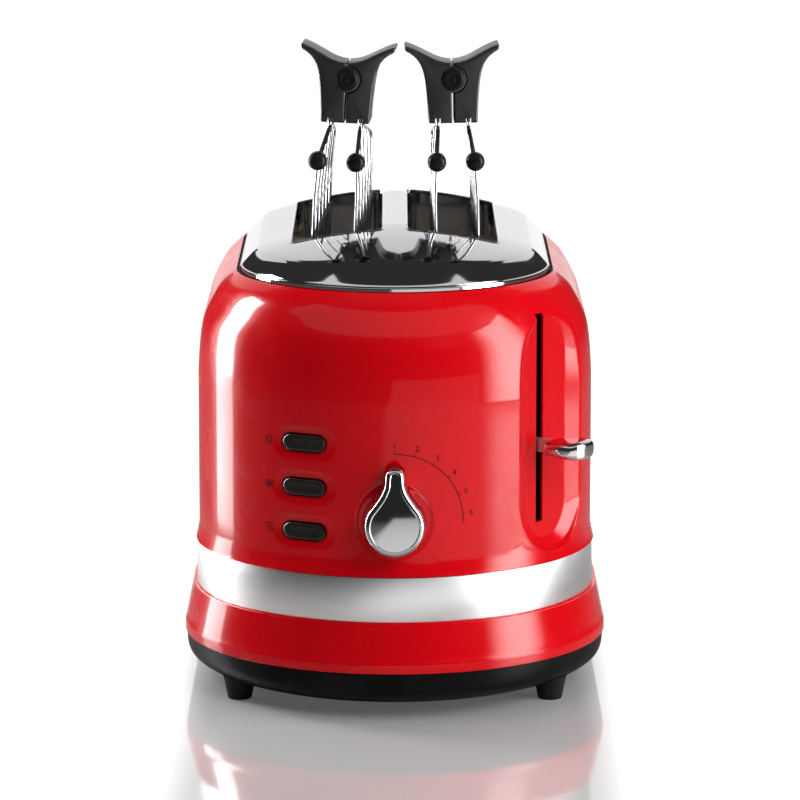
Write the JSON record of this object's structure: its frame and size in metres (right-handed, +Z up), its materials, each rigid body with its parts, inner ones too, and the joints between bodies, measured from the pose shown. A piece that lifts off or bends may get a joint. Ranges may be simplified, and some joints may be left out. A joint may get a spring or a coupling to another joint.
{
  "type": "two-slot toaster",
  "caption": "Narrow two-slot toaster with a painted shell, steel band, domed metal top, side lever, browning knob, push buttons, and bread tongs standing in its slots.",
  "frame": {"origin": "on the floor, under the middle of the whole part's box", "axes": "+Z up; -Y is the narrow end with the controls; +X to the right of someone facing the controls"},
  "size_m": [0.192, 0.3124, 0.2877],
  "materials": {
    "red_paint": "high gloss enamel",
    "bright_chrome": "mirror bright",
    "brushed_band": "brushed along its length",
    "plain_steel": "plain sheet",
    "black_plastic": "satin",
    "grey_plastic": "satin",
    "rubber": "matt",
    "mica": "matt sheet",
    "circuit_board": "satin"
  },
  "bodies": {
    "root": {"body_shell": "red_paint", "lower_skirt": "red_paint", "steel_band": "brushed_band", "top_plate": "bright_chrome", "top_seal": "rubber", "base_tray": "black_plastic", "cord_inlet": "rubber", "terminal_block": "grey_plastic", "foot_front_left": "rubber", "foot_front_right": "rubber", "foot_rear_left": "rubber", "foot_rear_right": "rubber", "chassis_front": "plain_steel", "chassis_rear": "plain_steel", "side_reflector_left": "plain_steel", "side_reflector_right": "plain_steel", "heater_left": "mica", "heater_centre": "mica", "heater_right": "mica", "hold_magnet": "plain_steel", "bread_guard_outer_left": "plain_steel", "bread_guard_inner_left": "plain_steel", "bread_guard_inner_right": "plain_steel", "bread_guard_outer_right": "plain_steel", "guide_rod_left": "plain_steel", "guide_rod_right": "plain_steel", "carriage_spring": "plain_steel", "control_board": "circuit_board", "browning_dial_body": "grey_plastic", "switch_stop": "black_plastic", "switch_defrost": "black_plastic", "switch_reheat": "black_plastic"},
    "carriage": {"carriage_plate": "plain_steel", "latch_keeper": "plain_steel", "lever_arm": "plain_steel", "lever_paddle": "bright_chrome", "bread_rack_left": "plain_steel", "bread_rack_right": "plain_steel"},
    "crumb_drawer": {"crumb_tray": "plain_steel"},
    "browning_control": {"browning_knob": "bright_chrome", "browning_shaft": "plain_steel"},
    "stop_key": {"button_stop": "grey_plastic"},
    "defrost_key": {"button_defrost": "grey_plastic"},
    "reheat_key": {"button_reheat": "grey_plastic"},
    "tongs_left": {"tongs_left_pin": "black_plastic"},
    "tongs_left_half_a": {"tongs_left_handle_a": "black_plastic", "tongs_left_cage_a": "bright_chrome", "tongs_left_cap_a": "black_plastic"},
    "tongs_left_half_b": {"tongs_left_handle_b": "black_plastic", "tongs_left_cage_b": "bright_chrome", "tongs_left_cap_b": "black_plastic"},
    "tongs_right": {"tongs_right_pin": "black_plastic"},
    "tongs_right_half_a": {"tongs_right_handle_a": "black_plastic", "tongs_right_cage_a": "bright_chrome", "tongs_right_cap_a": "black_plastic"},
    "tongs_right_half_b": {"tongs_right_handle_b": "black_plastic", "tongs_right_cage_b": "bright_chrome", "tongs_right_cap_b": "black_plastic"}
  },
  "joints": [
    {"name": "carriage_slide", "type": "slide", "parent": "root", "child": "carriage", "axis": [0, 0, 1], "range_m": [-0.031, 0.055], "stiffness_N_per_m": 130, "springref_m": 0.021, "deforming": ["carriage_spring"]},
    {"name": "crumb_tray_slide", "type": "slide", "parent": "root", "child": "crumb_drawer", "axis": [0, 1, 0], "range_m": [0, 0.2]},
    {"name": "browning_turn", "type": "hinge", "parent": "root", "child": "browning_control", "pos_m": [0, -0.14, 0.0898], "axis": [0, 1, 0], "range_deg": [0, 95]},
    {"name": "stop_press", "type": "slide", "parent": "root", "child": "stop_key", "axis": [0, 1, 0], "range_m": [0, 0.002], "stiffness_N_per_m": 400, "springref_m": -0.001},
    {"name": "defrost_press", "type": "slide", "parent": "root", "child": "defrost_key", "axis": [0, 1, 0], "range_m": [0, 0.002], "stiffness_N_per_m": 400, "springref_m": -0.001},
    {"name": "reheat_press", "type": "slide", "parent": "root", "child": "reheat_key", "axis": [0, 1, 0], "range_m": [0, 0.002], "stiffness_N_per_m": 400, "springref_m": -0.001},
    {"name": "tongs_left_lift", "type": "slide", "parent": "carriage", "child": "tongs_left", "axis": [0, 0, 1], "range_m": [0, 0.125]},
    {"name": "tongs_left_open", "type": "hinge", "parent": "tongs_left", "child": "tongs_left_half_a", "pos_m": [-0.0215, 0.0046, 0.2696], "axis": [0.0506, 0.9987, 0], "range_deg": [0, 1.4], "stiffness_Nm_per_rad": 0.5, "springref_deg": -2.86},
    {"name": "tongs_left_follow", "type": "hinge", "parent": "tongs_left", "child": "tongs_left_half_b", "pos_m": [-0.0215, 0.0046, 0.2696], "axis": [0.0506, 0.9987, 0], "range_deg": [-1.4, 0]},
    {"name": "tongs_right_lift", "type": "slide", "parent": "carriage", "child": "tongs_right", "axis": [0, 0, 1], "range_m": [0, 0.125]},
    {"name": "tongs_right_open", "type": "hinge", "parent": "tongs_right", "child": "tongs_right_half_a", "pos_m": [0.0264, 0.0046, 0.2696], "axis": [-0.0087, 1, 0], "range_deg": [0, 1.4], "stiffness_Nm_per_rad": 0.5, "springref_deg": -2.86},
    {"name": "tongs_right_follow", "type": "hinge", "parent": "tongs_right", "child": "tongs_right_half_b", "pos_m": [0.0264, 0.0046, 0.2696], "axis": [-0.0087, 1, 0], "range_deg": [-1.4, 0]}
  ],
  "couplings": [
    {"joint": "tongs_left_follow", "follows": "tongs_left_open", "ratio": -1},
    {"joint": "tongs_right_follow", "follows": "tongs_right_open", "ratio": -1}
  ]
}
